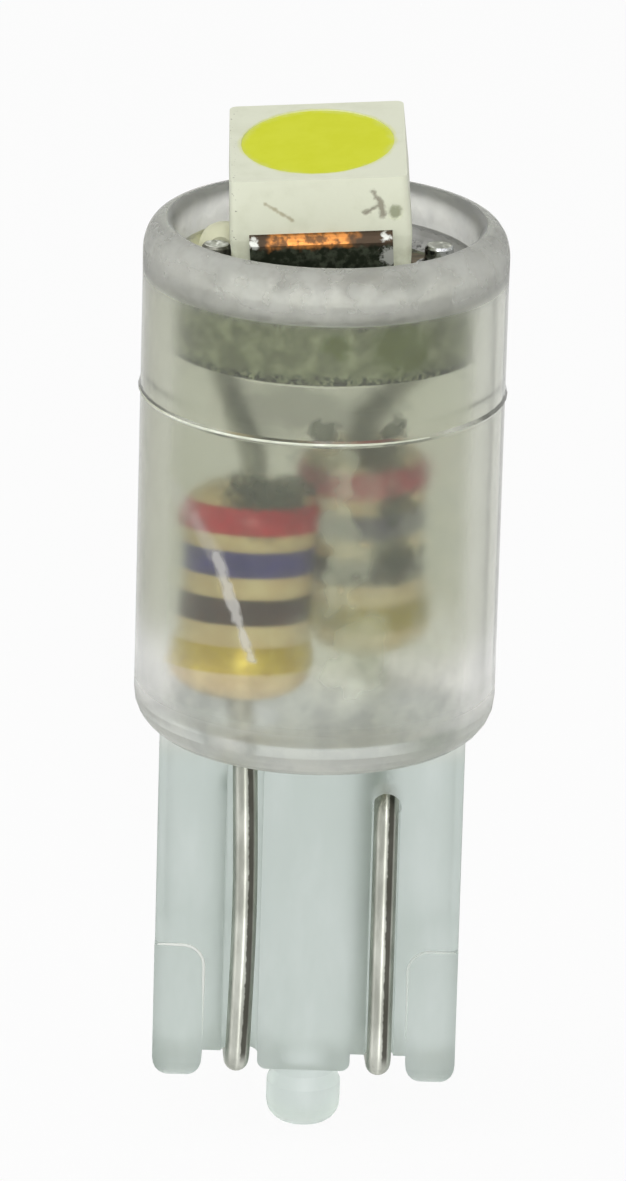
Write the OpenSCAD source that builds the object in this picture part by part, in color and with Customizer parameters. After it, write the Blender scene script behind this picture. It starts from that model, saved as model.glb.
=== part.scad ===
// Wedge base LED bulb: a clear moulded housing with two wire contacts.
// Origin at the centre of the housing's shoulder, +Z towards the light, front face towards -Y.

/* [Housing] */
// Outside diameter of the cup
body_d = 5.8; // [5.6:0.1:7]
// Height of the cup above the shoulder
body_h = 8.45; // [8.2:0.05:12]
// Wall of the cup
wall_t = 0.5; // [0.4:0.01:0.6]
// Thickness of the cup floor
floor_t = 0.5; // [0.3:0.05:0.6]
// Rounding where the cup turns into the shoulder
shoulder_r = 0.58; // [0.2:0.02:0.8]
// Distance of the rim's crown from the outside
rim_crown = 0.36; // [0.1:0.02:0.36]
// How far the rounding reaches down outside the crown
rim_outer_h = 0.52; // [0.1:0.02:0.6]
// How far the rounding reaches down inside the crown
rim_inner_h = 0.29; // [0.04:0.01:0.4]
// Height of the mould witness line round the cup
witness_z = 5.68; // [3:0.02:7]
// How far the witness line stands proud
witness_t = 0.035; // [0.01:0.005:0.08]

/* [Wedge base] */
// Width of the wedge plate
base_w = 4.9; // [4.7:0.1:5.1]
// Thickness of the wedge plate
base_t = 2.0; // [1.9:0.05:2.2]
// Length from the shoulder to the leg ends
leg_l = 5.85; // [5:0.05:7]
// Width of each leg
leg_w = 0.8; // [0.6:0.05:0.85]
// Length from the shoulder to the end of the middle tongue
tongue_l = 5.65; // [4.9:0.05:6.8]
// Width of the middle tongue
tongue_w = 1.5; // [1.3:0.05:1.6]
// Length from the shoulder to the saddles that the wires pass under
saddle_l = 5.35; // [4.6:0.05:6.4]
// How far the pads on the legs stand proud
pad_t = 0.1; // [0.05:0.01:0.2]
// Length from the shoulder to the top of the pads
pad_top = 3.5; // [2:0.1:4.4]
// Rounding of the plate's corners
base_r = 0.15; // [0.05:0.01:0.25]
// Diameter of the moulded nub
nub_d = 1.2; // [0.8:0.05:1.3]
// How far the nub hangs below the tongue
nub_l = 1.25; // [1:0.05:1.6]

/* [Contact wires] */
// Diameter of the lead wire
wire_d = 0.4; // [0.3:0.02:0.4]
// Depth of the wire grooves
groove_depth = 0.26; // [0.2:0.02:0.3]
// Diameter of the groove that a wire comes down in
entry_groove_d = 0.6; // [0.5:0.02:0.62]
// Diameter of the groove that a wire comes back up in
exit_groove_d = 0.46; // [0.44:0.02:0.5]
// Distance of the down-going strand from the middle
entry_x = 1.05; // [0.95:0.01:1.1]
// Distance of the returning strand from the middle
exit_x = 1.22; // [1.15:0.01:1.3]
// How far the down-going strand bows towards the middle
wire_bow = 0.08; // [0:0.01:0.1]
// Length from the shoulder to the hole that takes the wire end
tuck_l = 1.06; // [0.8:0.02:2]
// Length of wire inside that hole
tuck_depth = 0.5; // [0.3:0.05:0.6]
// Bend radius of the wire under the base
wrap_r = 0.35; // [0.3:0.01:0.4]

/* [Circuit board] */
// Thickness of the board
board_t = 1.0; // [0.6:0.1:1.2]
// Depth of the board's top below the rim
board_drop = 0.93; // [0.7:0.01:1.5]
// Thickness of the copper
land_t = 0.05; // [0.03:0.01:0.08]
// Play of the board in the cup, all round
board_gap = 0.04; // [0.02:0.01:0.08]
// Diameter of the lead holes in the board
lead_hole_d = 0.5; // [0.44:0.02:0.56]
// Height of the clipped leads above the board
lead_stub = 0.36; // [0.2:0.02:0.5]

/* [Light-emitting diode] */
// Width of the package
led_w = 2.76; // [2.6:0.02:2.8]
// Length of the package
led_l = 2.86; // [2.7:0.02:3]
// Height of the package above its terminals' feet
led_h = 1.9; // [1.5:0.05:2.2]
// Draft of the package walls
led_draft = 0.05; // [0.02:0.01:0.08]
// Diameter of the round window
window_d = 2.42; // [2:0.02:2.46]
// Width of the terminals
terminal_w = 2.24; // [1.6:0.04:2.3]
// Thickness of the terminals
terminal_t = 0.12; // [0.08:0.01:0.15]
// Tilt of the package towards the front
led_pitch = 8; // [0:0.5:9]
// Lean of the package towards the left
led_lean = 3.5; // [0:0.5:4]
// Turn of the package about the upright axis
led_turn = 1.5; // [-3:0.5:3]

/* [Resistors] */
// Length of a resistor's body
res_l = 3.5; // [3:0.1:3.6]
// Diameter of the body's ends
res_end_d = 2.16; // [1.7:0.02:2.18]
// Diameter of the body's waist
res_waist_d = 2.0; // [1.5:0.02:2.08]
// Thickness of the painted bands
band_t = 0.02; // [0.01:0.005:0.03]
// Height of the front resistor's middle above the shoulder
front_res_z = 2.5; // [2.4:0.02:3]
// Height of the rear resistor's middle above the shoulder
rear_res_z = 2.8; // [2.6:0.02:3.2]

/* [Hidden] */
$fn = 64;

body_r = body_d / 2;
bore_r = body_r - wall_t;
base_y = base_t / 2;
base_x = base_w / 2;
wire_r = wire_d / 2;
// Length of the plate, down to the lowest of its legs, saddles and tongue
plate_l = max(leg_l, tongue_l, saddle_l);
// Witness line height, above and below its crest
witness_h = 0.06;
// Steps in each drawn quarter arc
arc_steps = 6;

// The wires lie in the grooves with this gap behind them
seat_gap = 0.03;
wire_y = base_y - groove_depth + seat_gap + wire_r;
saddle_gap = 0.07;
wrap_z = -(saddle_l + saddle_gap + wire_r);
tuck_hole_d = exit_groove_d + 0.02;
tuck_bend_r = 0.25;
wire_end_gap = 0.05;
// Funnel where a wire enters the floor of the cup
funnel_r = 0.55;
funnel_h = 0.4;
// Line that the down-going strands stand on, just outside the groove's middle
entry_wire_x = entry_x + 0.03;
lead_bend_r = 0.25;
bow_r = 40;
wire_sides = 12;
overcut = 0.5;

board_top = body_h - board_drop;
board_bottom = board_top - board_t;
board_r = bore_r - board_gap;
land_top = board_top + land_t;

// Where the resistors' leads come up through the board: set in from the bore's wall, turned from +X
left_hole_inset = 0.605;
left_hole_turn = 167.1;
left_hole = inside_bore(left_hole_inset, left_hole_turn);
right_hole_inset = 0.487;
right_hole_turn = 21.5;
right_hole = inside_bore(right_hole_inset, right_hole_turn);
hole_r = lead_hole_d / 2;
ring_land_w = 0.13;
ring_land_r = hole_r + ring_land_w;

// Package, in its own frame: feet at z = 0, light upwards
frame_z = 0.9;
cup_floor_z = frame_z + terminal_t;
cup_floor_d = window_d - 0.36;
pad_split = 0.3;
terminal_gap = 0.02;
terminal_y = led_l / 2 + led_draft + terminal_t / 2 + terminal_gap;
terminal_out = terminal_y + terminal_t / 2;
foot_end_y = 0.75;
terminal_bend_r = 0.15;
window_drop = 0.02;
ejector_mark = [1.17, 1.31];
ejector_mark_d = 0.26;
ejector_mark_depth = 0.03;
package_corner_r = 0.12;
die_w = 0.4;
die_t = 0.12;
die_y = -0.42;
bond_x = 0.1;
bond_wire_r = 0.02;
// Lift that keeps the tilted feet just off the copper
foot_gap = 0.02;
led_lift = terminal_out * sin(led_pitch) + terminal_w / 2 * sin(led_lean) + foot_gap;
led_at = [-0.08, 0.2, land_top + led_lift];
solder_reach = 0.18;
led_turns = [led_pitch, -led_lean, led_turn];

// Copper under the terminals, which runs a little further out at the front
land_w = terminal_w - 0.04;
land_margin = 0.15;
front_land_y = [led_at[1] - terminal_out - solder_reach - land_margin, led_at[1] - foot_end_y];
rear_land_y = [led_at[1] + foot_end_y, led_at[1] + terminal_out + solder_reach];
trace_w = 0.45;

// Resistors: a gap to the bore's wall and a turn from +X, then a lean to the back and to the right
front_res_gap = 0.12;
front_res_turn = 203.8;
front_res_lean = [7.5, 1.6];
rear_res_gap = 0.05;
rear_res_turn = 52.8;
rear_res_lean = [0.8, -2.6];
res_steps = 50;
res_step = res_l / res_steps;
res_face_r = 0.32;
res_cap = 0.55;
res_blend = 0.7;
// Bands, by steps from the middle of the body
red_step = 18;
violet_step = 8;
brown_step = -3;
gold_step = -14;
band_half = 3;
lead_straight = 0.18;
// Straight lengths at an upper lead's two ends
lead_start = 0.38;
lead_rise = 0.45;
// Height above the funnel's foot where a lower lead turns downwards
lead_drop = 0.1;

// Points on an arc about c, from angle a to angle b
function arc(c, r, a, b, n = arc_steps) =
    [for (i = [0:n]) c + r * [cos(a + (b - a) * i / n), sin(a + (b - a) * i / n)]];

// Points on a quarter or other stretch of an oval with half-axes r[0] and r[1]
function oval_arc(c, r, a, b, n = 2 * arc_steps) =
    [for (i = [0:n]) let (t = a + (b - a) * i / n) c + [r[0] * cos(t), r[1] * sin(t)]];

function unit(v) = v / norm(v);

// The place at distance d inside the bore's wall, turned by angle a from +X
function inside_bore(d, a) = (bore_r - d) * [cos(a), sin(a)];

function flipped(points) = [for (i = [len(points) - 1:-1:0]) [-points[i][0], points[i][1]]];

// A corner b between a and c, turned into an arc of radius r
function round_corner(a, b, c, r, n) =
    let (u = unit(a - b), w = unit(c - b), turn = 180 - acos(u * w))
    turn < 1 ? [b] :
    let (
        centre = b + unit(u + w) * r / cos(turn / 2),
        s = b + u * r * tan(turn / 2) - centre,
        e = b + w * r * tan(turn / 2) - centre
    )
    [for (i = [0:n]) centre + (s * sin(turn * (1 - i / n)) + e * sin(turn * i / n)) / sin(turn)];

// A path through the given points, its inner corners rounded by one radius or by a list of them
function rounded_path(p, r, n = arc_steps) = [
    p[0],
    for (i = [1:len(p) - 2])
        each round_corner(p[i - 1], p[i], p[i + 1], is_list(r) ? r[i - 1] : r, n),
    p[len(p) - 1]
];

function tangent(p, i) = unit(p[min(i + 1, len(p) - 1)] - p[max(i - 1, 0)]);

// A normal for each point of the path, carried along without twisting
function normals(p, i = 0, last = [0, 0, 0]) =
    i == len(p) ? [] :
    let (
        t = tangent(p, i),
        seed = i == 0 ? (abs(t[0]) < 0.8 ? [1, 0, 0] : [0, 1, 0]) : last,
        m = unit(seed - t * (seed * t))
    )
    concat([m], normals(p, i + 1, m));

// Outline of a flat strip of thickness t that follows a path in the plane
function strip_outline(p, t) =
    let (side = [for (i = [0:len(p) - 1]) let (d = tangent(p, i)) [-d[1], d[0]] * t / 2])
    concat(
        [for (i = [0:len(p) - 1]) p[i] + side[i]],
        [for (i = [len(p) - 1:-1:0]) p[i] - side[i]]
    );

// Radius of a resistor's body at height z from its middle
function res_radius(z) =
    let (s = res_l / 2 - abs(z), end_r = res_end_d / 2, waist_r = res_waist_d / 2)
    s < res_cap ? res_face_r + (end_r - res_face_r) * sqrt(max(0, 1 - pow(1 - s / res_cap, 2))) :
    s < res_cap + res_blend ?
        waist_r + (end_r - waist_r) * (0.5 + 0.5 * cos(180 * (s - res_cap) / res_blend)) :
    waist_r;

function res_at(gap, turn, z) =
    let (at = inside_bore(res_end_d / 2 + gap, turn)) [at[0], at[1], z];
front_res_at = res_at(front_res_gap, front_res_turn, front_res_z);
rear_res_at = res_at(rear_res_gap, rear_res_turn, rear_res_z);

// Direction of a resistor's axis, upwards
function res_axis(lean) = [cos(lean[0]) * sin(lean[1]), sin(lean[0]), cos(lean[0]) * cos(lean[1])];

// Round wire along a path
module wire(path) {
    m = normals(path);
    rings = len(path);
    points = [
        for (i = [0:rings - 1])
            let (t = tangent(path, i), b = cross(t, m[i]))
            for (j = [0:wire_sides - 1])
                let (a = 360 * j / wire_sides)
                path[i] + wire_r * (cos(a) * m[i] + sin(a) * b)
    ];
    sides = [
        for (i = [0:rings - 2])
            for (j = [0:wire_sides - 1])
                let (k = (j + 1) % wire_sides, low = i * wire_sides, high = low + wire_sides)
                each [[low + j, high + j, high + k], [low + j, high + k, low + k]]
    ];
    first_cap = [for (j = [0:wire_sides - 1]) j];
    last_cap = [for (j = [wire_sides - 1:-1:0]) (rings - 1) * wire_sides + j];
    polyhedron(points, concat([first_cap], sides, [last_cap]));
}

// Section of the cup: floor, wall, rim and witness line
module cup_section() {
    crown_r = body_r - rim_crown;
    polygon(concat(
        [[0, 0]],
        arc([body_r - shoulder_r, shoulder_r], shoulder_r, -90, 0),
        [[body_r, witness_z - witness_h], [body_r + witness_t, witness_z], [body_r, witness_z + witness_h]],
        oval_arc([crown_r, body_h - rim_outer_h], [rim_crown, rim_outer_h], 0, 90),
        oval_arc([crown_r, body_h - rim_inner_h], [crown_r - bore_r, rim_inner_h], 90, 180),
        [[bore_r, floor_t], [0, floor_t]]
    ));
}

// Front outline of the wedge plate: two legs, two saddles and a middle tongue
module plate_outline() {
    leg_r = leg_w / 2;
    tongue_r = 0.15;
    half = concat(
        arc([tongue_w / 2 - tongue_r, tongue_r - tongue_l], tongue_r, -90, 0),
        [[tongue_w / 2, -saddle_l], [base_x - leg_w, -saddle_l]],
        arc([base_x - leg_r, leg_r - leg_l], leg_r, 180, 360, 2 * arc_steps),
        [[base_x, floor_t / 2]]
    );
    polygon(concat(half, flipped(half)));
}

// Raised pads near the ends of the legs, seen from the front
module pad_outline() {
    pad_r = 0.35;
    pad_in = base_x - leg_w;
    half = concat(
        [[base_x, -leg_l], [base_x, -pad_top]],
        arc([pad_in + pad_r, -pad_top - pad_r], pad_r, 90, 180),
        [[pad_in, -leg_l]]
    );
    polygon(half);
    polygon(flipped(half));
}

// Side outline of the plate, with its lower edges rounded
module plate_side() {
    low_r = 0.3;
    deep = base_y + pad_t;
    half = concat(arc([deep - low_r, low_r - plate_l], low_r, -90, 0), [[deep, floor_t / 2]]);
    polygon(concat(half, flipped(half)));
}

module front_extrude(thickness) {
    rotate([90, 0, 0])
        linear_extrude(thickness, center = true)
            children();
}

module wedge_plate() {
    intersection() {
        front_extrude(2 * (base_y + pad_t)) plate_outline();
        union() {
            translate([0, 0, -plate_l])
                linear_extrude(plate_l + floor_t)
                    union() {
                        square([base_w, base_t - 2 * base_r], center = true);
                        square([base_w - 2 * base_r, base_t], center = true);
                        for (x = [-1, 1], y = [-1, 1])
                            translate([x * (base_x - base_r), y * (base_y - base_r)])
                                circle(base_r);
                    }
            front_extrude(2 * (base_y + pad_t)) pad_outline();
        }
        rotate([90, 0, 90])
            linear_extrude(base_w + 2 * overcut, center = true)
                plate_side();
    }
}

// Nub left under the tongue, with a waisted neck
module nub() {
    neck_r = nub_d / 2 - 0.08;
    flare_r = 0.16;
    end_r = 0.34;
    bulge_z = -tongue_l - 0.55;
    low_z = -tongue_l - nub_l;
    rotate_extrude()
        polygon(concat(
            [[0, low_z]],
            arc([nub_d / 2 - end_r, low_z + end_r], end_r, -90, 0),
            [[nub_d / 2, bulge_z], [neck_r, bulge_z + 0.2]],
            arc([neck_r + flare_r, -tongue_l - flare_r], flare_r, 180, 90),
            [[neck_r + flare_r, -tongue_l + 0.2], [0, -tongue_l + 0.2]]
        ));
}

// Grooves, floor holes and tuck holes of one wire
module wire_way() {
    entry_y = base_y - groove_depth + entry_groove_d / 2;
    exit_y = base_y - groove_depth + exit_groove_d / 2;
    translate([-entry_x, -entry_y, -plate_l - overcut])
        cylinder(d = entry_groove_d, h = plate_l + floor_t + 2 * overcut);
    translate([-entry_x, -entry_y, floor_t - funnel_h])
        cylinder(r1 = entry_groove_d / 2, r2 = funnel_r, h = funnel_h);
    translate([-exit_x, exit_y, -plate_l - overcut])
        cylinder(d = exit_groove_d, h = plate_l + overcut - tuck_l);
    translate([-exit_x, base_y + overcut, -tuck_l])
        rotate([90, 0, 0])
            cylinder(d = tuck_hole_d, h = overcut + groove_depth + tuck_depth);
}

module housing() {
    color([0.86, 0.88, 0.87, 0.45])
    difference() {
        union() {
            rotate_extrude($fn = 96) cup_section();
            wedge_plate();
            nub();
        }
        wire_way();
        rotate([0, 0, 180]) wire_way();
    }
}

module circuit_board() {
    color([0.42, 0.47, 0.36])
    translate([0, 0, board_bottom])
    difference() {
        cylinder(r = board_r, h = board_t);
        for (hole = [left_hole, right_hole])
            translate([hole[0], hole[1], -overcut])
                cylinder(r = hole_r, h = board_t + 2 * overcut);
    }
}

// Copper land under one terminal, joined to the ring round a lead hole
module land(y_span, hole) {
    y_mid = (y_span[0] + y_span[1]) / 2;
    side = hole[0] > 0 ? 1 : -1;
    from = [side * (land_w / 2 - trace_w), y_mid];
    run = hole - from;
    color([0.72, 0.45, 0.2])
    translate([0, 0, board_top])
    linear_extrude(land_t)
    difference() {
        union() {
            translate([-land_w / 2, y_span[0]]) square([land_w, y_span[1] - y_span[0]]);
            translate(from)
                rotate(atan2(run[1], run[0]))
                    translate([0, -trace_w / 2])
                        square([norm(run), trace_w]);
            translate(hole) circle(ring_land_r);
        }
        translate(hole) circle(hole_r);
    }
}

module front_land() {
    land(front_land_y, left_hole);
}

module rear_land() {
    land(rear_land_y, right_hole);
}

module led_placed() {
    translate(led_at) rotate(led_turns) children();
}

// One slice of the package, for lofting
module package_slice(z, w, l) {
    translate([0, 0, z])
        linear_extrude(0.01)
            for (x = [-1, 1], y = [-1, 1])
                translate([x * (w / 2 - package_corner_r), y * (l / 2 - package_corner_r)])
                    circle(package_corner_r, $fn = 32);
}

// White package, drafted both ways from its parting line
module package_form() {
    mid_w = led_w + 2 * led_draft;
    mid_l = led_l + 2 * led_draft;
    hull() {
        package_slice(terminal_t, led_w, led_l);
        package_slice(frame_z, mid_w, mid_l);
    }
    hull() {
        package_slice(frame_z, mid_w, mid_l);
        package_slice(led_h - 0.01, led_w, led_l);
    }
}

// Front terminal: a pad inside the package, then down the face and under it
module terminal_form() {
    path = [[-pad_split / 2, 0], [-terminal_y, 0], [-terminal_y, terminal_t - cup_floor_z],
        [-foot_end_y, terminal_t - cup_floor_z]];
    translate([0, 0, cup_floor_z - terminal_t / 2])
        rotate([90, 0, 90])
            linear_extrude(terminal_w, center = true)
                polygon(strip_outline(rounded_path(path, terminal_bend_r), terminal_t));
}

// The tapered cup up to the given height
module window_form(top) {
    flare = (window_d - cup_floor_d) / (led_h - cup_floor_z);
    deep = top - cup_floor_z;
    translate([0, 0, cup_floor_z])
        cylinder(d1 = cup_floor_d, d2 = cup_floor_d + flare * deep, h = deep);
}

module led_package() {
    color([0.95, 0.95, 0.92])
    led_placed()
    difference() {
        package_form();
        window_form(led_h + 0.1);
        terminal_form();
        rotate([0, 0, 180]) terminal_form();
        translate([ejector_mark[0], -led_l / 2 - led_draft + ejector_mark_depth, ejector_mark[1]])
            rotate([90, 0, 0])
                cylinder(d = ejector_mark_d, h = overcut);
    }
}

module die_form() {
    translate([-die_w / 2, die_y - die_w / 2, cup_floor_z])
        cube([die_w, die_w, die_t]);
}

// Fine wire that arches from the die to a pad further along Y
module bond_wire_form(x, y_pad) {
    span = abs(y_pad - die_y);
    translate([x, (y_pad + die_y) / 2, cup_floor_z + die_t])
        rotate([0, -90, 0])
            rotate([0, 0, -90])
                rotate_extrude(angle = 180, $fn = 48)
                    translate([span / 2, 0])
                        circle(bond_wire_r, $fn = 16);
    translate([x, y_pad, cup_floor_z])
        cylinder(r = bond_wire_r, h = die_t, $fn = 16);
}

module led_window() {
    color([0.82, 0.86, 0.1])
    led_placed()
    difference() {
        window_form(led_h - window_drop);
        die_form();
        bond_wire_form(bond_x, -die_y);
        bond_wire_form(-bond_x, 2 * die_y);
    }
}

module led_die() {
    color([0.35, 0.45, 0.6]) led_placed() die_form();
}

module led_front_bond_wire() {
    color([0.9, 0.75, 0.3]) led_placed() bond_wire_form(-bond_x, 2 * die_y);
}

module led_rear_bond_wire() {
    color([0.9, 0.75, 0.3]) led_placed() bond_wire_form(bond_x, -die_y);
}

module led_front_terminal() {
    color([0.45, 0.43, 0.4]) led_placed() terminal_form();
}

module led_rear_terminal() {
    color([0.45, 0.43, 0.4]) led_placed() rotate([0, 0, 180]) terminal_form();
}

// What the package and its terminals fill, for the solder and the adhesive to fit round
module led_filled() {
    led_placed() {
        package_form();
        terminal_form();
        rotate([0, 0, 180]) terminal_form();
        translate([0, 0, frame_z / 2])
            cube([terminal_w, 2 * terminal_y, frame_z], center = true);
    }
}

// Solder under and in front of one terminal's foot; side is -1 at the front
module terminal_solder(side) {
    climb = 0.4;
    toe = 0.04;
    out_y = terminal_out + solder_reach;
    in_y = foot_end_y + foot_gap;
    lift = led_at[2] - land_top;
    color([0.6, 0.61, 0.6])
    difference() {
        translate([led_at[0], led_at[1], land_top])
            rotate([90, 0, side < 0 ? -90 : 90])
                linear_extrude(terminal_w - 0.2, center = true)
                    polygon(concat(
                        [[in_y, 0], [out_y, 0]],
                        arc([out_y, toe + solder_reach], solder_reach, -90, -180),
                        [[terminal_out, climb + lift], [in_y, climb + lift]]
                    ));
        led_filled();
    }
}

module front_terminal_solder() {
    terminal_solder(-1);
}

module rear_terminal_solder() {
    terminal_solder(1);
}

// Solder cone round a lead that comes up through the board
module lead_solder(hole) {
    foot_r = ring_land_r - 0.02;
    top_r = wire_r + 0.03;
    color([0.7, 0.71, 0.7])
    translate([hole[0], hole[1], land_top])
        rotate_extrude()
            polygon(concat(
                [[wire_r, 0]],
                arc([foot_r, foot_r - top_r], foot_r - top_r, -90, -180),
                [[top_r, lead_stub - land_t - 0.04], [wire_r, lead_stub - land_t]]
            ));
}

module left_lead_solder() {
    lead_solder(left_hole);
}

module right_lead_solder() {
    lead_solder(right_hole);
}

// Clear adhesive: a fillet round the board's edge and a lump beside the package
module sealing_adhesive() {
    ring_w = 0.3;
    lump_r = 0.5;
    lump_inset = 0.43;
    lump_turn = 145.5;
    lump_at = inside_bore(lump_inset, lump_turn);
    color([0.9, 0.9, 0.8, 0.6])
    difference() {
        union() {
            translate([0, 0, board_top])
                rotate_extrude($fn = 96)
                    polygon(concat(
                        [[bore_r, 0]],
                        arc([bore_r - ring_w, ring_w], ring_w, -90, 0)
                    ));
            intersection() {
                translate([lump_at[0], lump_at[1], board_top]) sphere(lump_r);
                translate([0, 0, board_top]) cylinder(r = bore_r - ring_w / 2, h = lump_r);
            }
        }
        led_filled();
        for (hole = [left_hole, right_hole])
            translate([hole[0], hole[1], board_top - overcut])
                cylinder(r = ring_land_r, h = 2 * overcut + lead_stub);
        for (span = [front_land_y, rear_land_y])
            translate([-land_w / 2, span[0], board_top - overcut])
                cube([land_w, span[1] - span[0], 2 * overcut]);
    }
}

module res_placed(at, lean) {
    translate(at) rotate([-lean[0], lean[1], 0]) children();
}

module resistor_body(at, lean) {
    half = res_steps / 2;
    color([0.8, 0.7, 0.5])
    res_placed(at, lean)
        rotate_extrude()
            polygon(concat(
                [[0, -res_l / 2]],
                [for (k = [-half:half]) [res_radius(k * res_step), k * res_step]],
                [[0, res_l / 2]]
            ));
}

// One painted band, lying on the body's own curve
module resistor_band(at, lean, step, shade) {
    color(shade)
    res_placed(at, lean)
        rotate_extrude()
            polygon(concat(
                [for (k = [step - band_half:step + band_half])
                    [res_radius(k * res_step), k * res_step]],
                [for (k = [step + band_half:-1:step - band_half])
                    [res_radius(k * res_step) + band_t, k * res_step]]
            ));
}

red_paint = [0.7, 0.1, 0.12];
violet_paint = [0.3, 0.25, 0.6];
brown_paint = [0.3, 0.16, 0.12];
gold_paint = [0.72, 0.58, 0.2];

module front_resistor_body() {
    resistor_body(front_res_at, front_res_lean);
}

module front_resistor_red_band() {
    resistor_band(front_res_at, front_res_lean, red_step, red_paint);
}

module front_resistor_violet_band() {
    resistor_band(front_res_at, front_res_lean, violet_step, violet_paint);
}

module front_resistor_brown_band() {
    resistor_band(front_res_at, front_res_lean, brown_step, brown_paint);
}

module front_resistor_gold_band() {
    resistor_band(front_res_at, front_res_lean, gold_step, gold_paint);
}

module rear_resistor_body() {
    resistor_body(rear_res_at, rear_res_lean);
}

module rear_resistor_red_band() {
    resistor_band(rear_res_at, rear_res_lean, red_step, red_paint);
}

module rear_resistor_violet_band() {
    resistor_band(rear_res_at, rear_res_lean, violet_step, violet_paint);
}

module rear_resistor_brown_band() {
    resistor_band(rear_res_at, rear_res_lean, brown_step, brown_paint);
}

module rear_resistor_gold_band() {
    resistor_band(rear_res_at, rear_res_lean, gold_step, gold_paint);
}

// Lead from a resistor's upper end, through the board
module upper_lead(at, lean, hole) {
    axis = res_axis(lean);
    start = at + axis * res_l / 2;
    below = board_bottom - lead_rise;
    color([0.75, 0.74, 0.7])
    wire(rounded_path([
        start,
        start + axis * lead_start,
        [hole[0], hole[1], below],
        [hole[0], hole[1], board_top + lead_stub]
    ], lead_bend_r));
}

module front_resistor_upper_lead() {
    upper_lead(front_res_at, front_res_lean, left_hole);
}

module rear_resistor_upper_lead() {
    upper_lead(rear_res_at, rear_res_lean, right_hole);
}

// Lead from a resistor's lower end: down one face of the base, under it and up the other
module contact_wire(at, lean, side) {
    axis = res_axis(lean);
    start = at - axis * res_l / 2;
    face = side * wire_y;
    down_x = side * entry_wire_x;
    up_x = side * exit_x;
    color([0.75, 0.74, 0.7])
    wire(rounded_path([
        start,
        start - axis * lead_straight,
        [down_x, face, floor_t - funnel_h + lead_drop],
        [down_x - side * wire_bow, face, wrap_z / 2],
        [down_x, face, wrap_z],
        [up_x, -face, wrap_z],
        [up_x, -face, -tuck_l],
        [up_x, side * (tuck_depth + wire_end_gap - wire_y), -tuck_l]
    ], [lead_bend_r, lead_bend_r, bow_r, wrap_r, wrap_r, tuck_bend_r]));
}

module front_contact_wire() {
    contact_wire(front_res_at, front_res_lean, -1);
}

module rear_contact_wire() {
    contact_wire(rear_res_at, rear_res_lean, 1);
}

housing();
circuit_board();
front_land();
rear_land();
led_package();
led_window();
led_die();
led_front_terminal();
led_rear_terminal();
led_front_bond_wire();
led_rear_bond_wire();
front_terminal_solder();
rear_terminal_solder();
left_lead_solder();
right_lead_solder();
sealing_adhesive();
front_resistor_body();
front_resistor_red_band();
front_resistor_violet_band();
front_resistor_brown_band();
front_resistor_gold_band();
rear_resistor_body();
rear_resistor_red_band();
rear_resistor_violet_band();
rear_resistor_brown_band();
rear_resistor_gold_band();
front_resistor_upper_lead();
rear_resistor_upper_lead();
front_contact_wire();
rear_contact_wire();
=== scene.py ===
import math

import bmesh
import bpy
from mathutils import Matrix, Vector


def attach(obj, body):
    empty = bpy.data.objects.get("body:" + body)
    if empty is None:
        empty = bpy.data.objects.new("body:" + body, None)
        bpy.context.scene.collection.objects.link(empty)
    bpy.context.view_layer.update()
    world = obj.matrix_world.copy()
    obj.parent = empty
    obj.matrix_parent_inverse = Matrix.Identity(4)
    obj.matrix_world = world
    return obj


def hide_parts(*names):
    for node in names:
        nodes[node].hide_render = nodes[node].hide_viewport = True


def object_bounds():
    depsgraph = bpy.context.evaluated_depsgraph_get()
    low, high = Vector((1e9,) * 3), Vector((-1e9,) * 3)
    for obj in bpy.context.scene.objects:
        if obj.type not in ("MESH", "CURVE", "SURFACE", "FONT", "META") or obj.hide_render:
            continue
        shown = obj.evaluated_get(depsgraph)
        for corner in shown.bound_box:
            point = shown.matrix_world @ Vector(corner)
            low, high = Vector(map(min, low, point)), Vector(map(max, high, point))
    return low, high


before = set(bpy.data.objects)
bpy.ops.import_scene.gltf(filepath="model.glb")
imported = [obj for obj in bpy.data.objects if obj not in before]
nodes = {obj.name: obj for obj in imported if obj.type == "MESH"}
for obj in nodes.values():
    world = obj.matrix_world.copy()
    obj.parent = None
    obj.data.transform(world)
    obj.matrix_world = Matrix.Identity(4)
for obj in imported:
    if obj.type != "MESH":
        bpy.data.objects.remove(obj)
cad_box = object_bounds()
MM = 0.001

# Camera, from the photograph: the middle of the picture, in millimetres, and the angles in degrees
LOOK_AT = (-0.065, 0.0, 2.244)
DISTANCE = 139.7
ELEVATION = 19.565
AZIMUTH = 0.489
ROLL = 1.61
LENS = 265.9

# The package's own frame, as it is placed in the solids
LED_AT = (-0.08, 0.2, 7.884)
LED_TURNS = (8.0, -3.5, 1.5)
# Cup, bore, witness line and rim: its crown's radius and how far its rounding reaches down outside
CUP_R = 2.9
CUP_TOP = 8.45
BORE_R = 2.4
CROWN_R = 2.54
RIM_FALL = 0.52
WITNESS_Z = 5.68
WITNESS_R = 2.929
# Where the rear resistor's darkest bands show on the bore's wall
REAR_BROWN = (1.181, -2.089, 3.57)
REAR_VIOLET = (1.202, -2.077, 4.449)
# Contact wires: radius, the strands' places at the front, the depth of their bow and half its length
WIRE_R = 0.2
ENTRY_X = -1.08
EXIT_X = 1.22
BOW = 0.075
BOW_HALF = 2.81


def srgb(r, g, b):
    """A colour written as eight-bit sRGB, as Blender's linear values."""
    parts = [c / 255 for c in (r, g, b)]
    return tuple(c / 12.92 if c <= 0.04045 else ((c + 0.055) / 1.055) ** 2.4 for c in parts) + (1.0,)


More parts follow.
